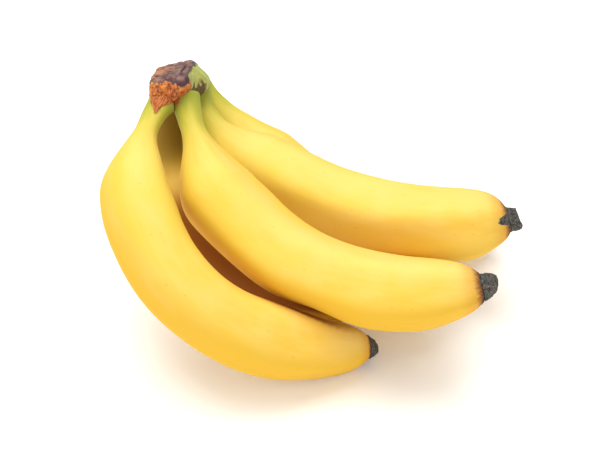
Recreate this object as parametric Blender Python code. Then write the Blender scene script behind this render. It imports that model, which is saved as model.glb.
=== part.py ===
"""Bunch of five bananas lying on its curved backs, with the cut crown raised.

Lengths are in metres and angles in degrees. The table is the plane z = 0, the tips point
along +X, and the origin is under the middle of the bunch. Each banana is one solid: a neck
that grows out of the crown, a five-sided body on a curved centreline, and a narrow end that
carries a dried flower end of its own.
"""

import math

import bmesh
import bpy
import numpy as np
from mathutils import Vector

# Clearances and contact
GAP = 0.0003                  # gap between two pieces that touch
PRESS_GAP = 0.0007            # gap that one banana keeps where it leans on another

# Overall sizes
LENGTH_SCALE = 1.0            # stretches every banana along its centreline
GIRTH_SCALE = 1.0             # thickens every banana
NECK_RADIUS = 0.0058          # neck where it leaves the crown
NECK_ROOM = 0.0058            # neck radius for which the crown below is drawn
NECK_LENGTH = 0.014           # straight part of the neck
SHOULDER_LENGTH = 0.037       # from the neck's radius to the full girth
END_TAPER = 0.0115            # length over which the end narrows
END_SHARE = 0.32              # radius of the narrow end, as a share of the girth
RIDGE_DEPTH = 0.035           # flats between the five ridges, as a share of the radius

# Dried flower end
TIP_LENGTH = 0.0065
TIP_LOBES = 5
TIP_LOBE_DEPTH = 0.10

# Crown: its middle, the way its long side runs, and its section at stations along it
REST_HEIGHT = 0.0182          # height of the centrelines that lie on the table
CROWN_RISE = 0.0633           # the crown's middle above them
CROWN_MIDDLE = Vector((-0.0670, 0.0458, REST_HEIGHT + CROWN_RISE * LENGTH_SCALE))
CROWN_RUN = Vector((0.04, 0.876, -0.481)).normalized()
CROWN_SCALE = 1.0
CROWN_SIZE = CROWN_SCALE * NECK_RADIUS / NECK_ROOM
CROWN_CORNER = 3.4            # exponent of the rounded-box section
# along the run, centre sideways, centre upwards, half width, half height
CROWN_STATIONS = (
    (-0.0345, -0.0019, 0.0094, 0.0096, 0.0040),
    (-0.0325, -0.0019, 0.0084, 0.0103, 0.0053),
    (-0.0290, -0.0018, 0.0060, 0.0105, 0.0076),
    (-0.0240, -0.0014, 0.0040, 0.0109, 0.0095),
    (-0.0110, 0.0000, 0.0034, 0.0125, 0.0100),
    (-0.0050, 0.0014, 0.0030, 0.0140, 0.0101),
    (0.0180, 0.0017, 0.0026, 0.0140, 0.0102),
    (0.0300, 0.0015, 0.0015, 0.0125, 0.0090),
    (0.0420, 0.0010, 0.0014, 0.0108, 0.0074),
    (0.0460, 0.0010, 0.0016, 0.0080, 0.0050),
)

# Mesh fineness
RINGS = 30
SIDES = 20
TIP_SIDES = 15
CROWN_SIDES = 24
PATH_STEPS = 240


class Banana:
    """Sizes and place of one banana.

    neck     where the neck leaves the crown, from the crown's middle
    root     how deep the neck is rooted in the crown
    heading  compass direction in which the neck leaves, counted from +X towards +Y
    pitch    how far the neck points up (negative: down)
    roll     turn of the curl plane about the neck
    bend     whole angle through which the banana curls
    late     share of the bend moved from the neck to the tip
    waver    share of the bend moved from the middle to both ends
    length   centreline from the crown to the tip
    radius   radius across the ridges at full girth
    taper    how slowly the end narrows, 1 is usual
    ridge    angle of the first ridge from the inside of the curl
    """

    def __init__(self, name, neck, root, heading, pitch, roll, bend, late, waver, length,
                 radius, taper, ridge):
        self.name = name
        self.neck = CROWN_MIDDLE + Vector(neck) * CROWN_SIZE
        self.root = root
        self.heading = math.radians(heading)
        self.pitch = math.radians(pitch)
        self.roll = math.radians(roll)
        self.bend = math.radians(bend)
        self.late = late
        self.waver = waver
        self.length = length * LENGTH_SCALE
        self.radius = radius * GIRTH_SCALE
        self.taper = END_TAPER * taper
        self.ridge = math.radians(ridge)
        self.body_length = self.length - TIP_LENGTH - GAP


UNDER = Banana("under", neck=(-0.003, 0.001, -0.0082), root=0.006, heading=-123, pitch=-58,
               roll=23, bend=106, late=-1.40, waver=-0.65, length=0.207, radius=0.0170,
               taper=1.45, ridge=20)
FRONT = Banana("front", neck=(-0.006, -0.026, 0.0145), root=0.001, heading=-116, pitch=-4,
               roll=-34, bend=140, late=-0.40, waver=-0.40, length=0.210, radius=0.0182,
               taper=1.10, ridge=0)
MIDDLE = Banana("middle", neck=(0.005, -0.021, 0.0125), root=0.002, heading=-73, pitch=-29,
                roll=6, bend=86, late=0.05, waver=-0.50, length=0.194, radius=0.0190,
                taper=1.00, ridge=66)
BACK = Banana("back", neck=(0.011, 0.006, -0.007), root=0.005, heading=-70, pitch=-24,
              roll=1, bend=88, late=-0.35, waver=0.65, length=0.181, radius=0.0186,
              taper=0.60, ridge=40)
FAR = Banana("far", neck=(0.0105, 0.031, -0.0225), root=0.004, heading=-42, pitch=-27,
             roll=4, bend=82, late=1.00, waver=-0.25, length=0.180, radius=0.0182,
             taper=1.05, ridge=30)
BANANAS = (UNDER, FRONT, MIDDLE, BACK, FAR)


def curl_frame(banana):
    """Direction of the neck, the direction it curls towards, and the curl plane's normal."""
    level = math.cos(banana.pitch)
    start = Vector((level * math.cos(banana.heading), level * math.sin(banana.heading),
                    math.sin(banana.pitch)))
    inward = (Vector((1, 0, 0)) - start * start.x).normalized()
    side = start.cross(inward)
    curl = inward * math.cos(banana.roll) + side * math.sin(banana.roll)
    return start, curl, start.cross(curl)


def turn(banana, share):
    """Angle turned so far, at a share of the length from 0 to 1."""
    late = share * share - share
    waver = 2 * share ** 3 - 3 * share ** 2 + share
    return banana.bend * (share + banana.late * late + banana.waver * waver)


def radius_at(banana, distance):
    """Radius across the ridges at a distance from the crown."""
    rise = min(max((distance - NECK_LENGTH) / SHOULDER_LENGTH, 0.0), 1.0)
    swell = rise * rise * (3 - 2 * rise)
    grown = NECK_RADIUS + (banana.radius - NECK_RADIUS) * swell
    left = max(banana.body_length - distance, 0.0)
    narrowing = 1 - (1 - END_SHARE) * math.exp(-(left / banana.taper) ** 0.78)
    return grown * narrowing


def path(banana):
    """Points, directions and radii at even steps along the body's centreline."""
    start, curl, _ = curl_frame(banana)
    step = banana.body_length / PATH_STEPS
    point = banana.neck.copy()
    stations = []
    for index in range(PATH_STEPS + 1):
        distance = index * step
        angle = turn(banana, distance / banana.length)
        along = start * math.cos(angle) + curl * math.sin(angle)
        stations.append((point.copy(), along, radius_at(banana, distance)))
        half = turn(banana, (distance + step / 2) / banana.length)
        point += (start * math.cos(half) + curl * math.sin(half)) * step
    return stations


def ring_places():
    """Indices of the path's steps that carry a ring, closer together at both ends."""
    places = []
    for ring in range(RINGS):
        even = ring / (RINGS - 1)
        eased = (1 - math.cos(math.pi * even)) / 2
        places.append(round(PATH_STEPS * (0.55 * even + 0.45 * eased)))
    return places


def section(banana, station, extra=0.0):
    """One ring of points around the centreline, five-sided with rounded ridges."""
    point, along, radius = station
    _, _, normal = curl_frame(banana)
    inside = normal.cross(along)
    share = min(max((radius / NECK_RADIUS - 1) / 1.2, 0.0), 1.0)
    ring = []
    for side in range(SIDES):
        angle = 2 * math.pi * side / SIDES
        flat = (1 - math.cos(5 * (angle - banana.ridge))) / 2
        reach = radius * (1 - RIDGE_DEPTH * share * flat) + extra
        ring.append(point + (inside * math.cos(angle) + normal * math.sin(angle)) * reach)
    return ring


def rooted(banana, ring, depth):
    """A copy of the neck's first ring, moved back into the crown."""
    start, _, _ = curl_frame(banana)
    return [point - start * depth for point in ring]


def press(points, neighbour):
    """Moves points out of a neighbour, to PRESS_GAP from its surface."""
    stations = path(neighbour)
    centres = np.array([station[0] for station in stations])
    radii = np.array([station[2] for station in stations])
    for point in points:
        away = np.array(point) - centres
        distance = np.linalg.norm(away, axis=1)
        depth = radii + PRESS_GAP - distance
        nearest = int(depth.argmax())
        if depth[nearest] > 0:
            push = away[nearest] / distance[nearest] * depth[nearest]
            point += Vector(push)


def rest_on_table(points):
    """Flattens the lowest part of a back, which would reach below the table, onto z = 0."""
    for point in points:
        point.z = max(point.z, 0.0)


def loft(bm, rings):
    """Skins a row of rings of points and closes both ends."""
    loops = []
    for ring in rings:
        verts = [bm.verts.new(point) for point in ring]
        edges = [bm.edges.new((a, b)) for a, b in zip(verts, verts[1:] + verts[:1])]
        loops.append((verts, edges))
    for (_, first), (_, second) in zip(loops, loops[1:]):
        bmesh.ops.bridge_loops(bm, edges=first + second)
    bm.faces.new(loops[0][0])
    bm.faces.new(loops[-1][0])
    bmesh.ops.recalc_face_normals(bm, faces=bm.faces)


def add_object(name, rings, material):
    """Makes a smooth shaded object from rings of points."""
    bm = bmesh.new()
    loft(bm, rings)
    mesh = bpy.data.meshes.new(name)
    bm.to_mesh(mesh)
    bm.free()
    mesh.shade_smooth()
    mesh.set_sharp_from_angle(angle=math.radians(50))
    if material is not None:
        mesh.materials.append(material)
    item = bpy.data.objects.new(name, mesh)
    bpy.context.scene.collection.objects.link(item)
    return item


def plain_material(name, colour, roughness):
    """A Principled material with one colour and one roughness."""
    material = bpy.data.materials.new(name)
    material.use_nodes = True
    shader = material.node_tree.nodes["Principled BSDF"]
    shader.inputs["Base Color"].default_value = (*colour, 1.0)
    shader.inputs["Roughness"].default_value = roughness
    shader.inputs["Metallic"].default_value = 0.0
    return material


def peel_material(name):
    """Ripe yellow peel."""
    return plain_material(name, (0.90, 0.63, 0.09), 0.42)


def tip_material(name):
    """Near-black dried flower remnant."""
    return plain_material(name, (0.035, 0.028, 0.022), 0.85)


def crown_material(name):
    """Brown dried crown."""
    return plain_material(name, (0.36, 0.17, 0.08), 0.80)


def body_rings(banana):
    """The rooted end of the neck, then the body's rings before anything presses on them."""
    stations = path(banana)
    rings = [section(banana, stations[place]) for place in ring_places()]
    return [rooted(banana, rings[0], banana.root)] + rings


def add_banana(banana, neighbours):
    """One whole banana, pressed where it leans on those already placed."""
    rings = body_rings(banana)
    for ring in rings:
        for neighbour in neighbours:
            press(ring, neighbour)
        rest_on_table(ring)
    return add_object("banana_" + banana.name, rings, peel_material("peel_" + banana.name))


def add_tip(banana):
    """The dried flower end, a short lobed stub GAP beyond the banana's end."""
    end, along, radius = path(banana)[-1]
    _, _, normal = curl_frame(banana)
    inside = normal.cross(along)
    # share of the tip's length, share of the end's radius
    outline = ((0.0, 0.92), (0.22, 1.02), (0.52, 1.00), (0.80, 0.88), (1.0, 0.62))
    rings = []
    for share, width in outline:
        middle = end + along * (GAP + share * TIP_LENGTH)
        ring = []
        for side in range(TIP_SIDES):
            angle = 2 * math.pi * side / TIP_SIDES
            lobe = 1 - TIP_LOBE_DEPTH * (1 - math.cos(TIP_LOBES * angle)) / 2
            reach = radius * width * lobe
            ring.append(middle + (inside * math.cos(angle) + normal * math.sin(angle)) * reach)
        rings.append(ring)
    return add_object("tip_" + banana.name, rings, tip_material("dry_tip_" + banana.name))


def neck_cutter(banana):
    """The neck's upper stretch, GAP larger all round, which clears its socket."""
    stations = path(banana)
    reach = PATH_STEPS // 5
    rings = [section(banana, station, GAP) for station in stations[:reach + 1:6]]
    rings.insert(0, rooted(banana, rings[0], banana.root + GAP))
    cutter = add_object("socket_" + banana.name, rings, None)
    cutter.hide_render = True
    cutter.display_type = 'WIRE'
    return cutter


def crown_frame():
    """The crown's run, its sideways direction (towards the tips) and its up."""
    side = (Vector((1, 0, 0)) - CROWN_RUN * CROWN_RUN.x).normalized()
    return CROWN_RUN, side, side.cross(CROWN_RUN)


def crown_rings():
    """Rounded-box sections along the crown."""
    run, side, up = crown_frame()
    rings = []
    for along, sideways, upwards, half_width, half_height in CROWN_STATIONS:
        middle = CROWN_MIDDLE + (run * along + side * sideways + up * upwards) * CROWN_SIZE
        ring = []
        for index in range(CROWN_SIDES):
            angle = 2 * math.pi * (index + 0.5) / CROWN_SIDES
            across = math.cos(angle)
            above = math.sin(angle)
            size = (abs(across) ** CROWN_CORNER + abs(above) ** CROWN_CORNER) ** (-1 / CROWN_CORNER)
            offset = side * across * half_width + up * above * half_height
            ring.append(middle + offset * size * CROWN_SIZE)
        rings.append(ring)
    return rings


def add_crown():
    """The cut crown, with a socket for each neck."""
    crown = add_object("crown", crown_rings(), crown_material("crown_skin"))
    for banana in BANANAS:
        cut = crown.modifiers.new("socket_" + banana.name, 'BOOLEAN')
        cut.operation = 'DIFFERENCE'
        cut.solver = 'EXACT'
        cut.object = neck_cutter(banana)
    return crown


def clear_scene():
    """Removes whatever the scene holds."""
    for item in list(bpy.data.objects):
        bpy.data.objects.remove(item, do_unlink=True)


def build():
    """Builds the crown, then each banana with its dried flower end."""
    clear_scene()
    add_crown()
    placed = []
    for banana in BANANAS:
        add_banana(banana, placed)
        add_tip(banana)
        placed.append(banana)


build()
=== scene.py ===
"""Finish of a bunch of five bananas: ridged peel, dried flower ends and the cut crown.

Lengths are in metres, z = 0 is the table and the tips point along +X. Every surface is worked
out as whole arrays: a row of distances along the piece against a row of angles around it.
"""

import bpy
import numpy as np
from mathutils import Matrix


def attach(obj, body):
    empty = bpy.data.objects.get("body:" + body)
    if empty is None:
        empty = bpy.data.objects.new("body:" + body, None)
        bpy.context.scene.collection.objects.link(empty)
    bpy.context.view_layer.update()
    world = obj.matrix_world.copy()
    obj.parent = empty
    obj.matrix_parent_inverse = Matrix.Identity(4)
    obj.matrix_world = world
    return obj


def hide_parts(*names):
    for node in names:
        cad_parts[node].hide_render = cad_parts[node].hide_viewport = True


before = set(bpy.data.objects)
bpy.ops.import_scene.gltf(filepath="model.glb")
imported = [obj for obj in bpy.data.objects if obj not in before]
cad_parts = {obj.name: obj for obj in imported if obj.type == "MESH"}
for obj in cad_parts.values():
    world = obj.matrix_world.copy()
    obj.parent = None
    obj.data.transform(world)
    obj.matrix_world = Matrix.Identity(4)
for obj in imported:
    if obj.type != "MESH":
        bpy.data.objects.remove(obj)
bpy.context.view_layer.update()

# Sizes shared by all bananas
NECK_RADIUS = 0.0058
NECK_LENGTH = 0.014
SHOULDER_LENGTH = 0.037
END_TAPER = 0.0115
END_SHARE = 0.32
TIP_LENGTH = 0.0065
GAP = 0.0003
PRESS_GAP = 0.0007
RIDGE_POWER = 5.4            # higher makes the five ridges sharper
SPINE_STEPS = 480
PEEL_RINGS = 300
PEEL_SIDES = 160
TIP_RINGS = 70
TIP_SIDES = 150
CROWN_SIDES = 220

CROWN_MIDDLE = np.array([-0.0670, 0.0458, 0.0815])
CROWN_RUN = np.array([0.04, 0.876, -0.481])

# neck: start from the crown's middle; root: how far it reaches back into the crown; heading,
# pitch: way the neck leaves; roll, bend: curl; late, waver: where the curl is strongest; taper:
# length of the narrowing end; ridge, twist: angle of the first ridge from the inside and its
# turn; shade_warmth, shade: strength of the painted shade on the lower sides and by a neighbour
BANANAS = {
    "under": dict(neck=(-0.003, 0.001, -0.0082), root=0.006, heading=-123, pitch=-58, roll=23,
                  bend=106, late=-1.40, waver=-0.65, length=0.207, radius=0.0170, taper=1.45,
                  ridge=20, seed=11),
    "front": dict(neck=(-0.006, -0.026, 0.0145), root=0.001, heading=-116, pitch=-4, roll=-34,
                  bend=140, late=-0.40, waver=-0.40, length=0.210, radius=0.0182, taper=1.10,
                  ridge=0, seed=12),
    "middle": dict(neck=(0.005, -0.021, 0.0125), root=0.002, heading=-73, pitch=-29, roll=6,
                   bend=86, late=0.05, waver=-0.50, length=0.194, radius=0.0190, taper=1.00,
                   ridge=66, shade=0.30, seed=13),
    "back": dict(neck=(0.011, 0.006, -0.007), root=0.005, heading=-70, pitch=-24, roll=1,
                 bend=88, late=-0.35, waver=0.65, length=0.181, radius=0.0186, taper=0.60,
                 ridge=40, twist=-20, shade_warmth=0.25, shade=0.15, seed=14),
    "far": dict(neck=(0.0105, 0.031, -0.0225), root=0.004, heading=-42, pitch=-27, roll=4,
                bend=82, late=1.00, waver=-0.25, length=0.180, radius=0.0182, taper=1.05,
                ridge=30, seed=15),
}
for title, sizes in BANANAS.items():
    sizes["name"] = title

# gentle swellings and hollows: distance from the crown, angle round it, height, length
SWELLINGS = {
    "under": ((0.018, 338, 0.0034, 0.018),),
    "front": ((0.030, 205, -0.0018, 0.020), (0.046, 32, -0.0022, 0.011),
              (0.155, 25, 0.0020, 0.022), (0.180, 207, -0.0016, 0.020)),
    "middle": ((0.002, 0, 0.0010, 0.008), (0.046, 183, 0.0028, 0.018),
               (0.045, 3, -0.0027, 0.014), (0.114, 195, -0.0024, 0.014),
               (0.176, 197, -0.0013, 0.012)),
    "back": ((0.003, 13, -0.0016, 0.009), (0.066, 19, 0.0012, 0.015),
             (0.152, 202, 0.0014, 0.010), (0.168, 202, -0.0012, 0.006)),
    "far": ((0.022, 0, 0.0022, 0.012), (0.060, 5, 0.0008, 0.020)),
}

# torn flesh of the crown on the necks: angle round the neck, distance down it
SCARS = {
    "front": ((0, -0.004), (40, -0.004), (50, -0.001), (62, 0.0002), (70, 0.0022),
              (84, 0.0050), (91, 0.0110), (100, 0.0106), (118, 0.0082), (148, 0.0054),
              (160, 0.0020), (172, -0.001), (185, -0.004), (360, -0.004)),
    "middle": ((0, -0.004), (70, -0.004), (84, -0.0012), (95, 0.0000), (103, 0.0016),
               (112, 0.0026), (128, 0.0030), (150, -0.001), (165, -0.004), (360, -0.004)),
}
NO_SCAR = ((0, -0.0060), (360, -0.0060))


# ---------------------------------------------------------------- arithmetic

LATTICE = 8192               # how many random numbers lie behind the lumps
LATTICE_KEYS = np.array([73856093, 19349663, 83492791])


def unit(vector):
    """The vector or row of vectors divided by its own length."""
    return vector / np.linalg.norm(vector, axis=-1, keepdims=True)


def ease(value):
    """Soft step: 0 below 0, 1 above 1, and 3 v^2 - 2 v^3 between them."""
    clipped = np.clip(value, 0.0, 1.0)
    return clipped * clipped * (3 - 2 * clipped)


def ripple(points, size, seed, waves=14):
    """Gentle relief: the mean of plane sine waves in random directions, about SIZE long."""
    rng = np.random.default_rng(seed)
    ways = unit(rng.normal(size=(waves, 3)))
    pace = 2 * np.pi / (size * rng.uniform(0.7, 1.6, waves))
    phase = rng.uniform(0, 2 * np.pi, waves)
    return np.sin(points @ (ways.T * pace) + phase).sum(axis=-1) / np.sqrt(waves / 2)


def lumps(points, size, seed):
    """Value noise from -1 to 1: random numbers on a lattice of pitch SIZE, blended smoothly."""
    table = np.random.default_rng(seed).uniform(-1, 1, LATTICE)
    scaled = points / size
    cell = np.floor(scaled).astype(np.int64)
    part = ease(scaled - cell)
    total = np.zeros(points.shape[:-1])
    for corner in range(8):
        bits = np.array([corner & 1, corner >> 1 & 1, corner >> 2 & 1])
        key = (cell + bits) * LATTICE_KEYS
        number = table[np.bitwise_xor.reduce(key, axis=-1) % LATTICE]
        weight = np.where(bits == 1, part, 1 - part).prod(axis=-1)
        total += number * weight
    return total


# ---------------------------------------------------------------- banana shape

END_CURVE = 0.78             # under 1 gives the narrow end a blunt shoulder
TWIST_START = 0.11           # where the ridges of a twisted banana begin to turn
TWIST_LENGTH = 0.05
SIDE_SPREAD = 0.015          # how much nearer or farther each side may lie, as a share
NECK_RIDGES = 0.35           # share of the ridges' height that the neck shows
RIDGE_START = 0.004
RIDGE_GROWTH = 0.035         # length over which the ridges reach their full height
WAVE_SIZE = 0.045            # broad unevenness of the body
WAVE_HEIGHT = 0.00018
RIPPLE_SIZE = 0.009          # finer unevenness
RIPPLE_HEIGHT = 0.00002
BODY_SHRINK = 0.00015        # keeps the unevenness inside the girth
FLARE = 0.0012               # widening of the neck where it grows out of the crown
FLARE_LENGTH = 0.0035
SHADE_REACH = 0.0055         # clearance over which the painted shade next to a neighbour fades
FACING_START = 0.86          # cosine from which peel counts as facing a neighbour
DEEP_START = -0.15           # cosine from which the under banana takes painted shade for lying deep
DEEP_SPAN = 0.45
LIT_PLACE = 0.038            # where the painted shade on the under banana gives way to light falling through the gap
LIT_LENGTH = 0.011
SCAR_RAGGED = 0.0008         # unevenness of the edge of the torn flesh on a neck
SCAR_HEIGHT = 0.0005


def curl_frame(b):
    """Way the neck leaves, the way it curls and the curl plane's normal."""
    heading, pitch, roll = np.radians([b["heading"], b["pitch"], b["roll"]])
    start = np.array([np.cos(pitch) * np.cos(heading), np.cos(pitch) * np.sin(heading),
                      np.sin(pitch)])
    inward = unit(np.array([1.0, 0, 0]) - start * start[0])
    side = np.cross(start, inward)
    curl = inward * np.cos(roll) + side * np.sin(roll)
    return start, curl, np.cross(start, curl)


def body_length(b):
    """Centreline from the crown to the narrow end, without the dried flower end."""
    return b["length"] - TIP_LENGTH - GAP


def turn(b, share):
    """Angle turned at a share of the length: bend times share plus its late and waver parts."""
    late = share ** 2 - share
    waver = 2 * share ** 3 - 3 * share ** 2 + share
    return np.radians(b["bend"]) * (share + b["late"] * late + b["waver"] * waver)


def spine(b, distance):
    """Centreline: the direction turns in the curl plane and the points are its running sum.
    Beyond either end it goes straight on. Returns points, directions and inside directions."""
    start, curl, normal = curl_frame(b)
    length = body_length(b)
    steps = np.linspace(0, length, SPINE_STEPS + 1)
    angle = turn(b, (steps[1:] + steps[:-1]) / 2 / b["length"])[:, None]
    moves = (start * np.cos(angle) + curl * np.sin(angle)) * length / SPINE_STEPS
    origin = CROWN_MIDDLE + np.array(b["neck"])
    track = origin + np.vstack([np.zeros(3), np.cumsum(moves, axis=0)])
    inside = np.clip(distance, 0, length)
    angle = turn(b, inside / b["length"])[..., None]
    along = start * np.cos(angle) + curl * np.sin(angle)
    place = np.stack([np.interp(inside, steps, track[:, k]) for k in range(3)], axis=-1)
    place = place + along * (distance - inside)[..., None]
    return place, along, np.cross(normal, along)


def girth(b, distance):
    """Radius over the ridges: a soft step from the neck to full girth, narrowed at the end."""
    swell = ease((distance - NECK_LENGTH) / SHOULDER_LENGTH)
    grown = NECK_RADIUS + (b["radius"] - NECK_RADIUS) * swell
    left = np.maximum(body_length(b) - distance, 0.0)
    closing = np.exp(-(left / (END_TAPER * b["taper"])) ** END_CURVE)
    return grown * (1 - (1 - END_SHARE) * closing)


def ridge_angle(b, distance):
    """Angle of the first ridge, which may twist over the last part of the banana."""
    return np.radians(b["ridge"] + b.get("twist", 0)
                      * ease((distance - TWIST_START) / TWIST_LENGTH))


def ridged(b, distance, angle):
    """Reach of a rounded pentagon, 1 on its ridges: the power mean of five facing directions,
    with each side a little nearer or farther, rounder towards both ends."""
    rng = np.random.default_rng(b["seed"])
    nearer = rng.uniform(1 - SIDE_SPREAD, 1 + SIDE_SPREAD, 5)
    total = 0.0
    for k in range(5):
        facing = np.cos(angle - ridge_angle(b, distance) - np.radians(36 + 72 * k))
        total = total + (np.maximum(facing, 0) / nearer[k]) ** RIDGE_POWER
    pentagon = total ** (-1 / RIDGE_POWER)
    corner = (2 * np.cos(np.radians(36)) ** RIDGE_POWER) ** (-1 / RIDGE_POWER)
    share = NECK_RIDGES + (1 - NECK_RIDGES) * ease((distance - RIDGE_START) / RIDGE_GROWTH)
    return 1 + (pentagon / corner - 1) * share


def scar_edge(b, angle):
    """How far the torn flesh of the crown runs down the neck, at an angle around it: straight
    lines between the table's places."""
    table = np.array(SCARS.get(b["name"], NO_SCAR))
    return np.interp(np.degrees(angle), table[:, 0], table[:, 1])


def nearest_centre(other, points, out):
    """Clearance of every point from another banana's round girth, and the cosine between the
    peel's outward way and the way to that banana's nearest centre."""
    places = np.linspace(0.002, body_length(other), 70)
    centres = spine(other, places)[0]
    gaps = np.linalg.norm(points[:, :, None] - centres, axis=-1) - girth(other, places)
    nearest = gaps.argmin(axis=-1)
    clearance = np.take_along_axis(gaps, nearest[..., None], axis=-1)[..., 0]
    return clearance, (unit(centres[nearest] - points) * out).sum(axis=-1)


def neighbour_shade(b, points, out, distance):
    """Painted shade: 0 on open peel and 1 where it faces a close neighbour, a bell of the
    clearance times a soft step of the cosine. The under banana also gets painted shade where the
    front and the middle one both stand over it, but for the stretch that light reaches through
    the gap."""
    total = np.zeros(points.shape[:2])
    cosines = {}
    for name, other in BANANAS.items():
        if name == b["name"]:
            continue
        clearance, facing = nearest_centre(other, points, out)
        close = np.exp(-(np.maximum(clearance, 0) / SHADE_REACH) ** 2) * b.get("shade", 1.0)
        total = np.maximum(total, close * ease((facing - FACING_START) / (1 - FACING_START)))
        cosines[name] = facing
    if b["name"] == "under":
        deep_shade = ease((np.minimum(cosines["front"], cosines["middle"]) - DEEP_START) / DEEP_SPAN)
        deep_shade = deep_shade * (1 - 0.95 * np.exp(-((distance - LIT_PLACE) / LIT_LENGTH) ** 2))
        total = np.maximum(total, deep_shade)
    return total


def crest(b, distance, angle):
    """1 on a ridge's line and 0 in the middle of a side."""
    return ((1 + np.cos(5 * (angle - ridge_angle(b, distance)))) / 2) ** 3


def swellings(b, distance, angle):
    """Sum of soft bumps, each a bell along the length times a broad bell around it."""
    total = 0.0
    for middle, facing, height, length in SWELLINGS[b["name"]]:
        bell = np.exp(-((distance - middle) / length) ** 2)
        total = total + height * bell * ((1 + np.cos(angle - np.radians(facing))) / 2) ** 1.5
    return total


def peel_reach(b, distance, angle):
    """Distance of the peel from the centreline: girth times the ridged section, with gentle
    swellings, and a flare into the crown at the neck's root."""
    centre, _, inside = spine(b, distance)
    normal = curl_frame(b)[2]
    out = inside * np.cos(angle)[..., None] + normal * np.sin(angle)[..., None]
    reach = girth(b, distance) * ridged(b, distance, angle)
    rough = centre + out * reach[..., None]
    body = ease((distance - 0.01) / 0.04)
    waves = WAVE_HEIGHT * ripple(rough, WAVE_SIZE, b["seed"]) - BODY_SHRINK
    reach = reach + waves * body
    reach = reach + RIPPLE_HEIGHT * ripple(rough, RIPPLE_SIZE, b["seed"] + 50)
    reach = reach + swellings(b, distance, angle)
    reach = reach + FLARE * np.exp(-np.maximum(distance + 0.001, 0) / FLARE_LENGTH)
    return reach, centre, out


def press(points, b):
    """Moves points out of a neighbour: each point goes straight away from the neighbour's
    deepest centre until it is PRESS_GAP outside its round girth."""
    places = np.linspace(0, body_length(b), 200)
    centres = spine(b, places)[0]
    radii = girth(b, places) + PRESS_GAP
    flat = points.reshape(-1, 3)
    near = np.linalg.norm(flat[:, None, :] - centres[None, ::8, :], axis=2)
    close = np.flatnonzero((near < radii.max() + 0.006).any(axis=1))
    away = flat[close, None, :] - centres[None]
    distance = np.linalg.norm(away, axis=2)
    depth = radii[None] - distance
    worst = depth.argmax(axis=1)
    rows = np.arange(len(close))
    push = np.maximum(depth[rows, worst], 0) / distance[rows, worst]
    flat[close] += away[rows, worst] * push[:, None]
    return flat.reshape(points.shape)


def peel_surface(b, neighbours):
    """The whole peel on a grid: distance along the centreline by angle around it, with rings
    closer together towards both ends. Pressed off its neighbours and flattened on the table.
    Its marks are what the peel's colours read: distances, ridges, scar, the painted shade next
    to neighbours, and how far the peel faces up, which sets painted shade below and a painted
    sheen on top."""
    even = np.linspace(0, 1, PEEL_RINGS)
    eased = (1 - np.cos(np.pi * even)) / 2
    length = body_length(b)
    row = -b["root"] + (length + b["root"]) * (0.5 * even + 0.5 * eased)
    angle = np.linspace(0, 2 * np.pi, PEEL_SIDES, endpoint=False)
    distance, around = np.meshgrid(row, angle, indexing="ij")
    reach, centre, out = peel_reach(b, distance, around)
    rough = centre + out * reach[..., None]
    scar = scar_edge(b, around) - distance
    torn = ease((scar + SCAR_RAGGED * lumps(rough, 0.0015, 41)) / 0.0006)
    reach = reach + torn * SCAR_HEIGHT * (1 + lumps(rough, 0.0018, 42))
    points = centre + out * reach[..., None]
    for name in neighbours:
        points = press(points, BANANAS[name])
    points[..., 2] = np.maximum(points[..., 2], 0.0)
    marks = {
        "along": distance,
        "left": length - distance,
        "crest": crest(b, distance, around) * ease((distance - 0.003) / 0.02),
        "scar": scar,
        # painted shade where the peel faces a close neighbour or lies deep in the bunch
        "painted_shade": neighbour_shade(b, points, out, distance),
        # how far the peel faces up, which sets the painted shade below and the painted sheen on
        # top
        "up_facing": out[..., 2],
    }
    wrap = np.stack([np.cos(around) * b["radius"], np.sin(around) * b["radius"], distance],
                    axis=-1)
    return points, marks, wrap


# ---------------------------------------------------------------- meshes

def close_grid(points):
    """Corners and faces of a closed tube: rows of quads, and a fan to a middle point at
    each end. Rows run along the piece, columns around it."""
    rows, sides = points.shape[:2]
    verts = np.vstack([points.reshape(-1, 3), points[0].mean(axis=0), points[-1].mean(axis=0)])
    here = np.arange(sides)
    there = (here + 1) % sides
    first = (np.arange(rows - 1) * sides)[:, None]
    quads = np.stack([first + here, first + there, first + sides + there, first + sides + here],
                     axis=-1).reshape(-1, 4)
    last = (rows - 1) * sides
    start_fan = np.stack([np.full(sides, rows * sides), there, here], axis=-1)
    end_fan = np.stack([np.full(sides, rows * sides + 1), last + here, last + there], axis=-1)
    return verts, quads, np.vstack([start_fan, end_fan])


def add_object(name, data):
    """A new object that stands in the scene."""
    item = bpy.data.objects.new(name, data)
    bpy.context.scene.collection.objects.link(item)
    return item


def add_piece(name, points, material, marks, wrap=None):
    """Puts a closed grid into a mesh with its marks as attributes, facing outwards."""
    verts, quads, fans = close_grid(points)
    mesh = bpy.data.meshes.new(name)
    mesh.from_pydata(verts.tolist(), [], quads.tolist() + fans.tolist())
    if signed_volume(verts, quads, fans) < 0:
        mesh.flip_normals()
    for title, values in marks.items():
        data = mesh.attributes.new(title, 'FLOAT', 'POINT').data
        ends = [values[0].mean(), values[-1].mean()]
        data.foreach_set("value", np.append(values.ravel(), ends).astype(np.float32))
    if wrap is not None:
        data = mesh.attributes.new("wrap", 'FLOAT_VECTOR', 'POINT').data
        full = np.vstack([wrap.reshape(-1, 3), wrap[0].mean(axis=0), wrap[-1].mean(axis=0)])
        data.foreach_set("vector", full.astype(np.float32).ravel())
    mesh.shade_smooth()
    mesh.materials.append(material)
    return add_object(name, mesh)


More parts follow.
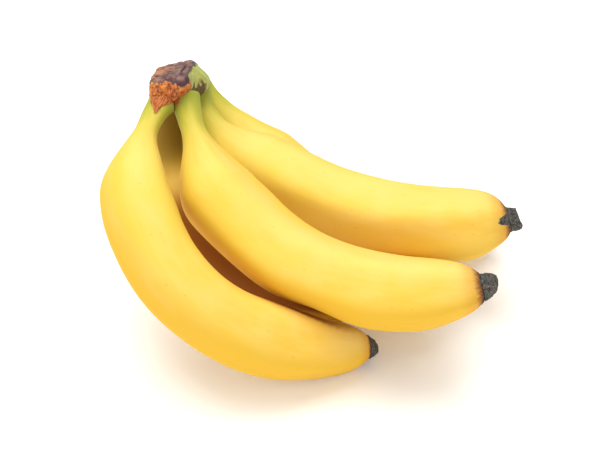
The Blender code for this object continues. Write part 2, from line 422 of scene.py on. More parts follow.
def signed_volume(verts, quads, fans):
    """Sum of the tetrahedra from the middle to every face: negative if faces point inwards."""
    corners = verts - verts.mean(axis=0)
    tris = np.vstack([quads[:, :3], quads[:, [0, 2, 3]], fans])
    a, b, c = corners[tris[:, 0]], corners[tris[:, 1]], corners[tris[:, 2]]
    return float(np.einsum("ij,ij->i", a, np.cross(b, c)).sum())


# ---------------------------------------------------------------- dried flower ends

SKIRT = 0.36                 # share of the rings that lie on the peel
RIM_REACH = 0.0007           # how far the rim lies back over the peel
SPUR_WIDTH = 0.26            # of the spur along a ridge, in radians
STAND = 0.80                 # share of TIP_LENGTH that the stub stands out
TIP_PLACES = (0, 0.10, 0.30, 0.55, 0.75, 0.90, 1.0)
TIP_WIDTHS = (1.0, 0.99, 0.95, 0.80, 0.52, 0.25, 0.0)
TIP_HEIGHTS = (0.0, 0.26, 0.66, 0.98, 0.92, 0.76, 0.70)

# reach backwards over the peel along one ridge, which ridge it follows, how much the end face
# slants and towards which angle, and how far the stub stands out next to the others
SPURS = {"back": (0.0090, 1, 0.30, 250, 1.10), "middle": (0.0020, 2, 0.45, 60, 1.12),
         "front": (0.0008, 0, 0.45, 140, 0.78), "far": (0.0030, 3, 0.30, 60, 0.90),
         "under": (0.0015, 1, 0.30, 200, 0.85)}


def rim_reach(b, around):
    """How far the withered end lies back over the peel: a rim, a bell-shaped spur along one
    ridge, and two sine ripples round the rim."""
    spur, ridge = SPURS[b["name"]][:2]
    off = np.angle(np.exp(1j * (around - np.radians(b["ridge"] + 72 * ridge))))
    back = RIM_REACH + spur * np.exp(-(off / SPUR_WIDTH) ** 2)
    return back + 0.0004 * np.sin(5 * around + b["seed"]) + 0.0003 * np.sin(13 * around)


def tip_lobes(b, around, beyond):
    """Share of the stub's width left between its lobes: cosines of three and of five turns."""
    lobes = 1 - 0.14 * (1 - np.cos(3 * around + b["seed"])) / 2 * ease(beyond * 3)
    return lobes - 0.07 * (1 - np.cos(5 * around + 2 * b["seed"])) / 2 * beyond


def tip_surface(b):
    """A withered stub: rings climb from the peel's narrow end, run back along one ridge as a
    spur, bulge in uneven lobes, and sink into a pit on a slanting end face. Widths and heights
    are straight lines between the tables' places; lumps and lengthwise fibres roughen them."""
    share = np.linspace(0, 1, TIP_RINGS)
    angle = np.linspace(0, 2 * np.pi, TIP_SIDES, endpoint=False)
    share, around = np.meshgrid(share, angle, indexing="ij")
    length = body_length(b)
    slant, facing, stand = SPURS[b["name"]][2:]
    on_peel = np.clip(share / SKIRT, 0, 1)
    beyond = np.clip((share - SKIRT) / (1 - SKIRT), 0, 1)
    distance = length - rim_reach(b, around) * (1 - on_peel)
    reach, centre, out = peel_reach(b, distance, around)
    lift = -0.0005 + 0.0008 * ease(on_peel / 0.45)
    end = girth(b, np.array(length))
    wide = np.interp(beyond, TIP_PLACES, TIP_WIDTHS)
    high = np.interp(beyond, TIP_PLACES, TIP_HEIGHTS)
    stub = (end + 0.0001) * wide * tip_lobes(b, around, beyond)
    reach = np.where(beyond > 0, stub, reach + lift)
    along = spine(b, np.full_like(distance, length))[1]
    lean = 1 + slant * np.cos(around - np.radians(facing)) * np.clip(reach / end, 0, 1)
    centre = centre + along * (high * lean * (TIP_LENGTH * STAND * stand))[..., None]
    points = centre + out * reach[..., None]
    free = ease(on_peel * 1.3)
    rough = 0.00052 * lumps(points, 0.0026, b["seed"]) + 0.00030 * lumps(points, 0.0011, 3)
    fibre = 0.00008 * np.sin(31 * around + 3 * lumps(points, 0.003, 5))
    points = points + out * ((rough + fibre) * free * np.clip(reach / 0.002, 0, 1))[..., None]
    points = points + along * (0.0007 * lumps(points, 0.0020, 9) * beyond)[..., None]
    points[..., 2] = np.maximum(points[..., 2], 0.0)
    return points, {"rim": 1 - on_peel}


# ---------------------------------------------------------------- crown

# along the run, then the section's edges in the crown's own frame: left, right, bottom, top,
# and the left and right edges of the flat top, outside which the shoulders slope down
CROWN_STATIONS = np.array([
    (-0.0345, -0.0090, 0.0080, 0.0044, 0.0126, -0.0086, 0.0074),
    (-0.0330, -0.0096, 0.0086, 0.0030, 0.0138, -0.0091, 0.0080),
    (-0.0300, -0.0098, 0.0089, 0.0004, 0.0144, -0.0093, 0.0083),
    (-0.0250, -0.0099, 0.0091, -0.0045, 0.0144, -0.0094, 0.0084),
    (-0.0120, -0.0101, 0.0098, -0.0060, 0.0146, -0.0095, 0.0085),
    (-0.0085, -0.0102, 0.0120, -0.0064, 0.0147, -0.0096, 0.0085),
    (-0.0055, -0.0103, 0.0150, -0.0068, 0.0148, -0.0096, 0.0085),
    (0.0050, -0.0105, 0.0154, -0.0072, 0.0148, -0.0094, 0.0084),
    (0.0140, -0.0108, 0.0152, -0.0074, 0.0146, -0.0020, 0.0068),
    (0.0190, -0.0110, 0.0148, -0.0074, 0.0140, 0.0020, 0.0060),
    (0.0240, -0.0110, 0.0142, -0.0074, 0.0120, 0.0020, 0.0054),
    (0.0300, -0.0106, 0.0134, -0.0072, 0.0096, 0.0010, 0.0060),
    (0.0420, -0.0095, 0.0115, -0.0058, 0.0072, -0.0030, 0.0050),
    (0.0460, -0.0072, 0.0088, -0.0034, 0.0052, -0.0030, 0.0040),
])
CROWN_POWER = 18.0           # higher makes the edges between its sides sharper
RIGHT_SLOPE = np.radians(47)
LEFT_SLOPE = np.radians(138)
TOP_TILT = np.radians(98)    # way the flat top faces: up, and a little to the left
LOW_RIGHT = np.radians(-48)
LOW_LEFT = np.radians(228)
NEAR_CAP = 60                # rings of the near end, of the wall and of the far end
WALL = 230
FAR_CAP = 40
TORN_EDGE = 0.0108           # height up to which the flesh is torn
NEAR_FACE = -0.0322          # where the torn near face begins, along the run
UNDER_FACE = -0.020          # where the torn flesh under the cut ends
CUT_EDGE = 0.0080            # height above which the dried cut lies
CUT_NEAR = -0.0250           # where the cut comes down over the near end
SKIN_NEAR = -0.0290          # where the green skin ends
STEP_ALONG = -0.0052         # edges of the dark step under the right shoulder, partly painted shade
STEP_SIDE = 0.0080
STEP_UP = 0.0074
CRACK_PLACE = 0.0046         # sideways
CRACK_DEPTH = 0.0011
SHOULDER = 0.0084            # sideways place where the green right shoulder begins


def crown_axes():
    """Way the crown runs, its sideways and its up."""
    run = unit(CROWN_RUN)
    side = unit(np.array([1.0, 0, 0]) - run * run[0])
    return run, side, np.cross(side, run)


def corner_reach(facing, across, above):
    """Distance of a side facing that way from the centre, if it passes through a corner."""
    return across * np.cos(facing) + above * np.sin(facing)


def crown_section(along, around):
    """Reach of a rounded many-sided section: the power mean of the distances of its sides.
    Right, left, top and bottom come from the stations, and the sloping shoulders pass through
    the edges of the flat top. Returns the reach and the section's centre."""
    inside = np.clip(along, CROWN_STATIONS[0, 0], CROWN_STATIONS[-1, 0])
    left, right, bottom, top, top_left, top_right = [
        np.interp(inside, CROWN_STATIONS[:, 0], CROWN_STATIONS[:, k]) for k in range(1, 7)]
    middle, level = (left + right) / 2, (bottom + top) / 2
    high, low = top - level, level - bottom
    to_right, to_left = right - middle, middle - left
    sides = (
        (0.0, to_right), (np.pi, to_left), (-np.pi / 2, low),
        (TOP_TILT, corner_reach(TOP_TILT, top_right - middle, high + 0.0005)),
        (RIGHT_SLOPE, corner_reach(RIGHT_SLOPE, top_right - middle, high)),
        (LEFT_SLOPE, corner_reach(LEFT_SLOPE, top_left - middle, high)),
        (LOW_RIGHT, 0.56 * (to_right * 0.67 + low * 0.74)),
        (LOW_LEFT, 0.84 * (to_left * 0.67 + low * 0.74)),
    )
    total = 0.0
    for facing, reach in sides:
        total = total + (np.maximum(np.cos(around - facing), 0) / reach) ** CROWN_POWER
    return total ** (-1 / CROWN_POWER), middle, level


def crown_surface():
    """A cut cushion: sections along the run, closed at both ends by rings that shrink to a
    middle point. Returns the place along, sideways and up, the shrink and the angle."""
    near = np.linspace(0.02, 1, NEAR_CAP)
    far = np.linspace(1, 0.02, FAR_CAP)
    shrink = np.concatenate([near, np.ones(WALL), far])
    first, last = CROWN_STATIONS[0, 0], CROWN_STATIONS[-1, 0]
    even = np.linspace(0, 1, WALL)
    wall = first + (last - first) * (0.6 * even + 0.4 * even ** 2)
    near_along = first - 0.0010 * (1 - near ** 2)
    far_along = last + 0.0020 * (1 - far ** 2)
    along = np.concatenate([near_along, wall, far_along])
    angle = np.linspace(0, 2 * np.pi, CROWN_SIDES, endpoint=False)
    along, around = np.meshgrid(along, angle, indexing="ij")
    shrink = np.repeat(shrink[:, None], CROWN_SIDES, axis=1)
    reach, middle, level = crown_section(along, around)
    reach = reach * shrink
    return along, middle + reach * np.cos(around), level + reach * np.sin(around), shrink, around


def crown_masks(along, sideways, upwards):
    """Where each of the crown's surfaces lies, from 0 to 1, as soft steps of the place with a
    wandering edge: torn flesh on the near face, dried cut on top, green skin on the right
    shoulder and the sides, a dark step under the shoulder, partly its own brown tissue and
    partly painted shade, and a burnt line over the flesh. Returns the crown's own coordinates
    first."""
    flat = np.stack([along, sideways, upwards], axis=-1)
    wander = 0.0014 * lumps(flat, 0.0050, 21) + 0.0009 * lumps(flat, 0.0020, 22)
    threads = lumps(flat * np.array([0.5, 1.0, 0.12]), 0.0010, 28)
    edge = TORN_EDGE + 0.9 * wander + 0.0018 * threads
    below = ease((edge - upwards) / 0.0006)
    front = ease((NEAR_FACE - along + 1.5 * wander) / 0.0012) * below
    low = below * ease((UNDER_FACE - along) / 0.003)
    right = ease((sideways - SHOULDER + 0.5 * wander) / 0.0007)
    torn = np.clip(front + low, 0, 1) * (1 - right * ease((along + 0.028) / 0.004))
    step = ease((sideways - STEP_SIDE) / 0.001) * ease((STEP_ALONG - along + wander) / 0.001)
    step = step * ease((STEP_UP - upwards + 1.5 * wander) / 0.0008)
    top = ease((upwards - CUT_EDGE + 2.0 * wander) / 0.0014)
    top = np.maximum(top, ease((CUT_NEAR - along + wander) / 0.0012))
    right = right * (1 - ease((SKIN_NEAR - along + wander) / 0.001))
    burnt = np.exp(-((upwards - edge - 0.0010) / 0.0016) ** 2) * ease((-0.024 - along) / 0.006)
    burnt = burnt * ease((sideways + 0.0055 + 2 * wander) / 0.002) * (1 - torn)
    cut = np.clip(top * (1 - right), 0, 1) * (1 - torn)
    skin = np.clip(1 - torn - cut, 0, 1) * (1 - step)
    return flat, top, skin, {"torn": torn, "cut": cut, "step": step, "burnt": burnt}


def crown_relief(flat, skin, marks):
    """Height of the crown's surface: chunks and fibres where torn, grooves along the run where
    cut, soft waves on the skin. Returns it with the chunks."""
    fibres = lumps(flat * np.array([1.0, 1.0, 0.22]), 0.0011, 23)
    chunks = lumps(flat, 0.0030, 24)
    fine = lumps(flat, 0.0008, 25)
    grooves = lumps(flat * np.array([0.16, 1.0, 0.5]), 0.0016, 26)
    bump = marks["torn"] * (0.0008 * chunks + 0.00045 * fibres + 0.0002 * fine)
    bump = bump + marks["cut"] * (0.00045 * grooves + 0.0003 * chunks + 0.00012 * fine)
    bump = bump + skin * (0.0003 * lumps(flat, 0.006, 27) + 0.00006 * fine)
    return bump + marks["step"] * (0.0006 * chunks + 0.0003 * fine), chunks


def crown_points():
    """The crown's points, its marks and its own coordinates. The relief, less a crack across
    the cut, moves the points outwards, and the torn near face also along the run."""
    run, side, up = crown_axes()
    along, sideways, upwards, shrink, around = crown_surface()
    flat, top, skin, marks = crown_masks(along, sideways, upwards)
    bump, chunks = crown_relief(flat, skin, marks)
    crack = np.exp(-((sideways - CRACK_PLACE - 0.0006 * chunks) / 0.0005) ** 2)
    crack = crack * ease((along + 0.022) / 0.006) * ease((0.006 - along) / 0.008) * top
    bump = bump - CRACK_DEPTH * crack
    out = side * np.cos(around)[..., None] + up * np.sin(around)[..., None]
    points = CROWN_MIDDLE + run * along[..., None] + side * sideways[..., None]
    points = points + up * upwards[..., None]
    points = points + out * (bump * np.clip(shrink, 0, 1) ** 2)[..., None]
    points = points - run * (bump * 1.6 * marks["torn"] * (shrink < 1))[..., None]
    marks["crack"] = crack
    marks["across"] = sideways
    return points, marks, flat


# ---------------------------------------------------------------- shader building

def node(tree, kind, inputs=None, **settings):
    """Adds a shader node, sets it, and fills its inputs with values or other sockets."""
    item = tree.nodes.new(kind)
    for name, value in settings.items():
        setattr(item, name, value)
    for name, value in (inputs or {}).items():
        socket = item.inputs[name]
        if isinstance(value, bpy.types.NodeSocket):
            tree.links.new(value, socket)
        elif isinstance(value, tuple) and len(value) == 3 and len(socket.default_value) == 4:
            socket.default_value = (*value, 1.0)
        else:
            socket.default_value = value
    return item


def maths(tree, operation, *values, clamp=False):
    """One sum on numbers or sockets."""
    inputs = dict(enumerate(values))
    return node(tree, "ShaderNodeMath", inputs, operation=operation, use_clamp=clamp).outputs[0]


def mix(tree, factor, first, second, blend='MIX'):
    """Colour mix: the second colour over the first by the factor."""
    item = node(tree, "ShaderNodeMix", {0: factor, 6: first, 7: second}, data_type='RGBA',
                blend_type=blend)
    return item.outputs[2]


def layer(tree, below, above, mask, strength=1.0):
    """Lays a colour over another by a mask, times a strength where that is not 1."""
    if strength != 1.0:
        mask = maths(tree, 'MULTIPLY', mask, strength)
    return mix(tree, mask, below, above)


def between(tree, value, low, high):
    """Soft step of a socket from 0 at LOW to 1 at HIGH."""
    item = node(tree, "ShaderNodeMapRange", {0: value, 1: low, 2: high},
                interpolation_type='SMOOTHSTEP')
    return item.outputs[0]


def noise(tree, vector, scale, detail=3.0, roughness=0.55):
    """Noise value from 0 to 1."""
    item = node(tree, "ShaderNodeTexNoise", {"Vector": vector, "Scale": scale, "Detail": detail,
                                             "Roughness": roughness})
    return item.outputs["Fac"]


def stretched(tree, vector, scale):
    """The vector with each axis scaled by its own number."""
    item = node(tree, "ShaderNodeVectorMath", {0: vector, 1: scale}, operation='MULTIPLY')
    return item.outputs[0]


def mark(tree, name, kind="Fac"):
    """A value that was stored on the surface."""
    return node(tree, "ShaderNodeAttribute", attribute_name=name).outputs[kind]


def new_group(name, inputs, outputs):
    """An empty shader group with named inputs and outputs. Inputs: name, socket kind, value."""
    tree = bpy.data.node_groups.new(name, "ShaderNodeTree")
    for label, kind, value in inputs:
        socket = tree.interface.new_socket(label, in_out='INPUT', socket_type=kind)
        if value is not None:
            socket.default_value = value
    for label, kind in outputs:
        tree.interface.new_socket(label, in_out='OUTPUT', socket_type=kind)
    return tree, tree.nodes.new("NodeGroupInput"), tree.nodes.new("NodeGroupOutput")


def speckle_group():
    """Small round freckles: cells of a Voronoi pattern, kept where the cell's random number
    is under Amount, faded from the cell's middle out to Size."""
    tree, given, made = new_group("freckles", [
        ("Vector", 'NodeSocketVector', None), ("Scale", 'NodeSocketFloat', 300.0),
        ("Amount", 'NodeSocketFloat', 0.1), ("Size", 'NodeSocketFloat', 0.25)],
        [("Mask", 'NodeSocketFloat')])
    cells = node(tree, "ShaderNodeTexVoronoi", {"Vector": given.outputs["Vector"],
                                                "Scale": given.outputs["Scale"]})
    number = node(tree, "ShaderNodeSeparateColor", {0: cells.outputs["Color"]}).outputs[0]
    kept = maths(tree, 'LESS_THAN', number, given.outputs["Amount"])
    near = maths(tree, 'DIVIDE', cells.outputs["Distance"], given.outputs["Size"])
    dot = maths(tree, 'SUBTRACT', 1.0, near, clamp=True)
    dot = maths(tree, 'MULTIPLY', maths(tree, 'MULTIPLY', dot, 1.6, clamp=True), kept)
    tree.links.new(dot, made.inputs["Mask"])
    return tree


def fibre_group():
    """Lengthwise grain: noise stretched along the third axis of the vector, broad and fine."""
    tree, given, made = new_group("grain", [
        ("Vector", 'NodeSocketVector', None), ("Scale", 'NodeSocketFloat', 300.0)],
        [("Value", 'NodeSocketFloat'), ("Fine", 'NodeSocketFloat')])
    long = stretched(tree, given.outputs["Vector"], (1.0, 1.0, 0.10))
    broad = noise(tree, long, given.outputs["Scale"], 4.0, 0.6)
    tight = noise(tree, long, maths(tree, 'MULTIPLY', given.outputs["Scale"], 4.0), 2.0)
    tree.links.new(broad, made.inputs["Value"])
    tree.links.new(tight, made.inputs["Fine"])
    return tree


def grouped(tree, group, inputs):
    """Places a node group and gives its outputs."""
    return node(tree, "ShaderNodeGroup", inputs, node_tree=group).outputs


def new_material(name, **values):
    """A Principled material with its plain numbers set on the shader's own sockets."""
    material = bpy.data.materials.new(name)
    material.use_nodes = True
    shader = material.node_tree.nodes["Principled BSDF"]
    for key, value in values.items():
        shader.inputs[key.replace("_", " ")].default_value = value
    return material, material.node_tree, shader


def finish_shader(tree, shader, colour, roughness, height, strength, distance):
    """Feeds the shader's colour, roughness and bump."""
    tree.links.new(colour, shader.inputs["Base Color"])
    tree.links.new(roughness, shader.inputs["Roughness"])
    bump = node(tree, "ShaderNodeBump", {"Strength": strength, "Distance": distance,
                                         "Height": height})
    tree.links.new(bump.outputs[0], shader.inputs["Normal"])


# ---------------------------------------------------------------- peel

YELLOW = (0.84, 0.555, 0.080)
PALE = (0.85, 0.585, 0.140)
AMBER = (0.80, 0.470, 0.060)
# painted shade of the lower sides, then painted sheen of the upper ones
SHADE_YELLOW = (0.82, 0.480, 0.035)
SHEEN_CREAM = (0.85, 0.610, 0.190)
GREEN = (0.50, 0.46, 0.060)
NECK_GREEN = (0.34, 0.36, 0.050)
FRECKLE = (0.30, 0.13, 0.03)
HONEY = (0.66, 0.27, 0.030)
SCORCH = (0.20, 0.075, 0.035)
NECK_SHADE = (0.20, 0.100, 0.012)
BODY_SHADE = (0.22, 0.050, 0.009)
THREAD_DARK = (0.21, 0.055, 0.024)
THREAD_PALE = (0.56, 0.185, 0.055)
SCAR_RIM = (0.34, 0.24, 0.06)
GREEN_REACH = 0.052          # how far down the peel the green fades out
NECK_REACH = 0.026           # how far down the darker green of the neck fades out
SHADE_WARMTH = 0.85                # usual strength of the painted shade on the lower sides
# strength of the painted shade next to neighbours and deep in the bunch
PAINTED_SHADE_STRENGTH = 0.93

# many faint dots, then a few larger spots: scale, amount, size, strength
FRECKLES = ((420.0, 0.06, 0.26, 0.20), (120.0, 0.035, 0.10, 0.30))


def ripe_yellow(tree, wrap, lines, shade_warmth):
    """Yellow with two sizes of cloudy patches and deeper lengthwise lines, with painted shade in
    deep yellow where the peel faces sideways and down, and a painted sheen where it faces up."""
    cloud = noise(tree, stretched(tree, wrap, (1.0, 1.0, 0.45)), 42.0, 3.0)
    colour = mix(tree, between(tree, cloud, 0.35, 0.70), YELLOW, PALE)
    cloud = noise(tree, stretched(tree, wrap, (1.0, 1.0, 0.35)), 95.0, 4.0, 0.6)
    colour = layer(tree, colour, AMBER, between(tree, cloud, 0.50, 0.75), 0.45)
    colour = layer(tree, colour, AMBER, between(tree, lines["Value"], 0.45, 0.75), 0.22)
    # painted shade in deep yellow on the lower sides and a painted sheen on the upper ones
    up_facing = maths(tree, 'MULTIPLY_ADD', noise(tree, wrap, 50.0), 0.5, mark(tree, "up_facing"))
    colour = layer(tree, colour, SHADE_YELLOW, between(tree, up_facing, 1.00, 0.25), shade_warmth)
    return layer(tree, colour, SHEEN_CREAM, between(tree, up_facing, 0.95, 1.30), 0.65)


def unripe_green(tree, wrap, along, colour):
    """Green that fades out down the peel with an uneven edge, later along the ridges, and a
    darker green on the neck."""
    uneven = maths(tree, 'MULTIPLY_ADD', noise(tree, wrap, 60.0), 0.020, along)
    fade = between(tree, uneven, GREEN_REACH, 0.012)
    on_ridge = maths(tree, 'MULTIPLY', between(tree, uneven, GREEN_REACH * 2.6, 0.03),
                     mark(tree, "crest"))
    fade = maths(tree, 'MAXIMUM', fade, maths(tree, 'MULTIPLY', on_ridge, 0.40))
    colour = mix(tree, fade, colour, GREEN)
    return mix(tree, between(tree, uneven, NECK_REACH, 0.010), colour, NECK_GREEN)


def peel_freckles(tree, wrap, freckles, colour):
    """Brown dots and spots, each kind laid on faintly."""
    for scale, amount, size, strength in FRECKLES:
        dots = grouped(tree, freckles, {"Vector": wrap, "Scale": scale, "Amount": amount,
                                        "Size": size})["Mask"]
        colour = layer(tree, colour, FRECKLE, dots, strength)
    return colour


def peel_halo(tree, wrap, colour):
    """Honey, then scorched, by the distance left to the dried flower end with a ragged edge.
    Returns the colour and the scorched mask."""
    ragged = maths(tree, 'MULTIPLY_ADD', noise(tree, wrap, 500.0, 4.0), -0.0035,
                   mark(tree, "left"))
    halo = between(tree, ragged, 0.0026, -0.0012)
    colour = layer(tree, colour, HONEY, between(tree, ragged, 0.010, 0.0), 0.60)
    return mix(tree, halo, colour, SCORCH), halo


def peel_scar(tree, wrap, colour):
    """Torn crown flesh on a neck: a jagged edge, dark and pale threads and a dull rim."""
    fine = noise(tree, stretched(tree, wrap, (1.0, 1.0, 0.3)), 900.0, 3.0, 0.7)
    jagged = maths(tree, 'MULTIPLY_ADD', maths(tree, 'SUBTRACT', fine, 0.5), 0.0040,
                   mark(tree, "scar"))
    threads = noise(tree, stretched(tree, wrap, (1.0, 1.0, 0.4)), 900.0, 4.0, 0.65)
    flesh = mix(tree, between(tree, threads, 0.38, 0.60), THREAD_DARK, THREAD_PALE)
    colour = mix(tree, between(tree, jagged, -0.0010, 0.0002), colour, SCAR_RIM)
    return mix(tree, between(tree, jagged, -0.0001, 0.0003), colour, flesh)


def peel_material(name, freckles, grain, shade_warmth):
    """Ripe peel, laid on in order: yellow with painted shade and sheen, green, freckles, halo,
    painted shade next to neighbours and scar. The grain and the pores make its roughness and its
    bump."""
    material, tree, shader = new_material(name, Specular_IOR_Level=0.06)
    wrap = mark(tree, "wrap", "Vector")
    along = mark(tree, "along")
    lines = grouped(tree, grain, {"Vector": wrap, "Scale": 260.0})
    colour = ripe_yellow(tree, wrap, lines, shade_warmth)
    colour = unripe_green(tree, wrap, along, colour)
    colour = peel_freckles(tree, wrap, freckles, colour)
    colour, halo = peel_halo(tree, wrap, colour)
    # painted shade: darker where the peel faces a close neighbour or lies deep in the bunch
    deep_shade = mix(tree, between(tree, along, 0.022, 0.040), NECK_SHADE, BODY_SHADE)
    colour = layer(tree, colour, deep_shade, mark(tree, "painted_shade"), PAINTED_SHADE_STRENGTH)
    colour = peel_scar(tree, wrap, colour)
    rough = maths(tree, 'MULTIPLY_ADD', lines["Value"], 0.16, 0.50)
    rough = maths(tree, 'ADD', rough, maths(tree, 'MULTIPLY', halo, 0.3))
    pores = noise(tree, wrap, 1500.0, 2.0)
    height = maths(tree, 'MULTIPLY_ADD', pores, 0.35, lines["Fine"])
    height = maths(tree, 'MULTIPLY_ADD', lines["Value"], 1.5, height)
    finish_shader(tree, shader, colour, rough, height, 0.22, 0.00012)
    return material


# ---------------------------------------------------------------- withered tissue

SOOT = (0.014, 0.012, 0.013)
ASH = (0.070, 0.068, 0.052)
GREY_GREEN = (0.20, 0.215, 0.170)
RUST = (0.120, 0.050, 0.042)
RIM_BROWN = (0.16, 0.075, 0.03)


def tip_material(name, seed):
    """Dried flower end: near-black, with grey-green and brown flecks and a brown rim. The seed
    alters the sizes of the patches a little, so that no two ends are alike."""
    material, tree, shader = new_material(name, Specular_IOR_Level=0.45)
    place = node(tree, "ShaderNodeTexCoord").outputs["Object"]
    patches = noise(tree, place, 620.0 + seed, 4.0, 0.65)
    flecks = noise(tree, place, 1400.0 + seed, 3.0, 0.6)
    warm = noise(tree, place, 380.0 + seed, 2.0)
    colour = mix(tree, between(tree, patches, 0.42, 0.58), SOOT, ASH)
    colour = mix(tree, between(tree, flecks, 0.54, 0.68), colour, GREY_GREEN)
    colour = layer(tree, colour, RUST, between(tree, warm, 0.56, 0.70), 0.7)
    ragged = maths(tree, 'MULTIPLY_ADD', patches, 0.6, mark(tree, "rim"))
    colour = mix(tree, between(tree, ragged, 0.95, 1.35), colour, RIM_BROWN)
    rough = maths(tree, 'MULTIPLY_ADD', flecks, 0.35, 0.45)
    finish_shader(tree, shader, colour, rough, maths(tree, 'ADD', patches, flecks), 0.6, 0.0004)
    return material


# ---------------------------------------------------------------- crown's tissue

FLESH_DARK = (0.27, 0.070, 0.024)
FLESH = (0.58, 0.170, 0.040)
FLESH_ORANGE = (0.76, 0.30, 0.065)
FLESH_HOLLOW = (0.20, 0.040, 0.020)
FLESH_PALE = (0.80, 0.42, 0.16)
BARK_DARK = (0.120, 0.055, 0.045)
BARK = (0.25, 0.135, 0.105)
BARK_TAN = (0.46, 0.18, 0.060)
BARK_BLOTCH = (0.045, 0.020, 0.028)
BARK_EDGE = (0.050, 0.028, 0.034)
CRACK = (0.035, 0.018, 0.012)
BURNT = (0.055, 0.022, 0.035)
SKIN = (0.34, 0.37, 0.070)
SKIN_PALE = (0.48, 0.49, 0.130)
SKIN_BROWN = (0.20, 0.12, 0.05)
# dark brown of the step under the shoulder: partly its own tissue, partly painted shade
STEP_SHADE_BROWN = (0.115, 0.075, 0.030)


def torn_flesh(tree, wrap, threads, chunks):
    """Dark and orange threads, brighter chunks, brown hollows and pale flecks."""
    flesh = mix(tree, between(tree, threads, 0.36, 0.60), FLESH_DARK, FLESH)
    flesh = mix(tree, between(tree, chunks, 0.46, 0.62), flesh, FLESH_ORANGE)
    hollows = noise(tree, wrap, 520.0, 5.0, 0.7)
    flesh = mix(tree, between(tree, hollows, 0.54, 0.66), flesh, FLESH_HOLLOW)
    flecks = noise(tree, wrap, 820.0, 3.0, 0.6)
    return mix(tree, between(tree, flecks, 0.64, 0.74), flesh, FLESH_PALE)


def dried_cut(tree, wrap, place):
    """Purple-brown streaks along the run, tan towards the left, black blotches, a dark right
    edge, the crack, and the burnt line over the torn flesh."""
    across = mark(tree, "across")
    streaks = noise(tree, stretched(tree, wrap, (0.3, 1.0, 1.0)), 420.0, 4.0, 0.6)
    bark = mix(tree, between(tree, streaks, 0.38, 0.62), BARK_DARK, BARK)
    tan = maths(tree, 'MULTIPLY', between(tree, across, 0.001, -0.007),
                between(tree, noise(tree, place, 180.0), 0.35, 0.60))
    bark = mix(tree, tan, bark, BARK_TAN)
    blotches = noise(tree, place, 190.0, 4.0, 0.6)
    bark = mix(tree, between(tree, blotches, 0.54, 0.64), bark, BARK_BLOTCH)
    bark = mix(tree, between(tree, across, 0.0066, 0.0086), bark, BARK_EDGE)
    bark = layer(tree, bark, CRACK, mark(tree, "crack"), 0.8)
    return layer(tree, bark, BURNT, mark(tree, "burnt"), 0.85)


def green_skin(tree, place):
    """Green with paler clouds and brown specks, and dark brown on the step under the shoulder,
    partly its own tissue and partly painted shade.
    """
    clouds = noise(tree, place, 150.0, 3.0)
    skin = mix(tree, between(tree, clouds, 0.40, 0.65), SKIN, SKIN_PALE)
    specks = noise(tree, place, 420.0, 4.0, 0.6)
    skin = mix(tree, between(tree, specks, 0.60, 0.72), skin, SKIN_BROWN)
    # the step under the shoulder: partly its own brown tissue, partly painted shade
    return mix(tree, mark(tree, "step"), skin, STEP_SHADE_BROWN)


def crown_material(name, grain):
    """Cut crown: green skin, with torn flesh laid over it and the dried cut over both, by the
    crown's marks. Threads, chunks and grain make its bump."""
    material, tree, shader = new_material(name, Specular_IOR_Level=0.35)
    wrap = mark(tree, "wrap", "Vector")
    place = node(tree, "ShaderNodeTexCoord").outputs["Object"]
    threads = noise(tree, stretched(tree, wrap, (1.0, 1.0, 0.25)), 900.0, 4.0, 0.65)
    chunks = noise(tree, wrap, 330.0, 4.0, 0.6)
    flesh = torn_flesh(tree, wrap, threads, chunks)
    colour = mix(tree, mark(tree, "torn"), green_skin(tree, place), flesh)
    colour = mix(tree, mark(tree, "cut"), colour, dried_cut(tree, wrap, place))
    lines = grouped(tree, grain, {"Vector": wrap, "Scale": 500.0})
    rough = maths(tree, 'MULTIPLY_ADD', threads, 0.3, 0.55)
    height = maths(tree, 'ADD', maths(tree, 'ADD', threads, chunks), lines["Value"])
    finish_shader(tree, shader, colour, rough, height, 0.55, 0.0004)
    return material


# ---------------------------------------------------------------- pieces

def build_pieces():
    """Peels, dried flower ends and the crown, each standing for its own node."""
    freckles = speckle_group()
    grain = fibre_group()
    placed = []
    for name, b in BANANAS.items():
        points, marks, wrap = peel_surface(b, placed)
        material = peel_material("ripe_peel_" + name, freckles, grain, b.get("shade_warmth", SHADE_WARMTH))
        peel = add_piece("peel_" + name, points, material, marks, wrap)
        own(peel, "banana_" + name)
        points, marks = tip_surface(b)
        material = tip_material("withered_" + name, b["seed"])
        tip = add_piece("flower_end_" + name, points, material, marks)
        own(tip, "tip_" + name)
        placed.append(name)
    points, marks, wrap = crown_points()
    crown = add_piece("cut_crown", points, crown_material("crown_flesh", grain), marks, wrap)
    own(crown, "crown")


def own(piece, node_name):
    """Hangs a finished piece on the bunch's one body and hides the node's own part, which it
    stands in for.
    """
    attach(piece, "root")
    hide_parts(node_name)


# ---------------------------------------------------------------- studio

TABLE_HALF = 6.0
TABLE_WHITE = (0.98, 0.98, 0.975, 1)
TABLE_GLOW = (1.0, 0.995, 0.985, 1)
TABLE_GLOW_STRENGTH = 0.07
SURROUNDINGS = 0.40          # strength of the white world

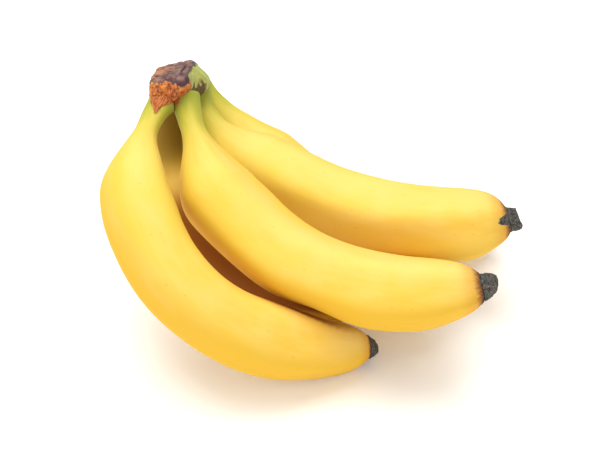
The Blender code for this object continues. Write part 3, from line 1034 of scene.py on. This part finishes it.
# place, the point it looks at, size, power and colour
LIGHTS = {
    "key": ((-0.15, 0.18, 1.24), (0.0, 0.0, 0.03), 1.10, 17.6, (1.0, 0.985, 0.955)),
    "left": ((-1.20, -0.30, 0.60), (-0.02, 0.0, 0.04), 0.8, 4.2, (1.0, 0.975, 0.93)),
    "front": ((0.45, -0.85, 0.90), (0.0, 0.0, 0.03), 0.9, 4.6, (1.0, 0.99, 0.97)),
}
CAMERA_PLACE = (-0.0071, -0.6632, 0.6343)
CAMERA_DOWN = 42             # degrees it looks down
CAMERA_LENS = 110.2


def build_studio():
    """White table, white surroundings, a broad key light overhead and weak ones from the left
    and the front."""
    mesh = bpy.data.meshes.new("table")
    half = TABLE_HALF
    mesh.from_pydata([(-half, -half, 0), (half, -half, 0), (half, half, 0), (-half, half, 0)],
                     [], [(0, 1, 2, 3)])
    material, _, shader = new_material("table_white", Roughness=0.7, Specular_IOR_Level=0.2)
    shader.inputs["Base Color"].default_value = TABLE_WHITE
    shader.inputs["Emission Color"].default_value = TABLE_GLOW
    shader.inputs["Emission Strength"].default_value = TABLE_GLOW_STRENGTH
    mesh.materials.append(material)
    table = add_object("table", mesh)
    world = bpy.data.worlds.new("studio")
    world.use_nodes = True
    backdrop = world.node_tree.nodes["Background"]
    backdrop.inputs["Color"].default_value = (1.0, 1.0, 1.0, 1)
    backdrop.inputs["Strength"].default_value = SURROUNDINGS
    bpy.context.scene.world = world
    for name, values in LIGHTS.items():
        add_light(name, *values)


def add_light(name, place, target, size, power, colour):
    """A square area light that looks at a target."""
    lamp = bpy.data.lights.new(name, 'AREA')
    lamp.size = size
    lamp.energy = power
    lamp.color = colour
    item = add_object(name, lamp)
    item.location = place
    aim(item, target)


def aim(item, target):
    """Turns an object's -Z towards a point, with +Z of the world upwards."""
    ahead = unit(np.array(target) - np.array(item.location))
    level = np.hypot(ahead[0], ahead[1])
    item.rotation_euler = (np.arctan2(level, -ahead[2]), 0.0, np.arctan2(-ahead[0], ahead[1]))


def add_camera():
    """Looks down on the bunch from the front, through a long lens."""
    lens = bpy.data.cameras.new("camera")
    lens.lens = CAMERA_LENS
    camera = add_object("camera", lens)
    camera.location = CAMERA_PLACE
    camera.rotation_euler = (np.radians(90 - CAMERA_DOWN), 0, 0)
    bpy.context.scene.camera = camera
    bpy.context.scene.view_settings.view_transform = 'Standard'


build_pieces()
build_studio()
add_camera()
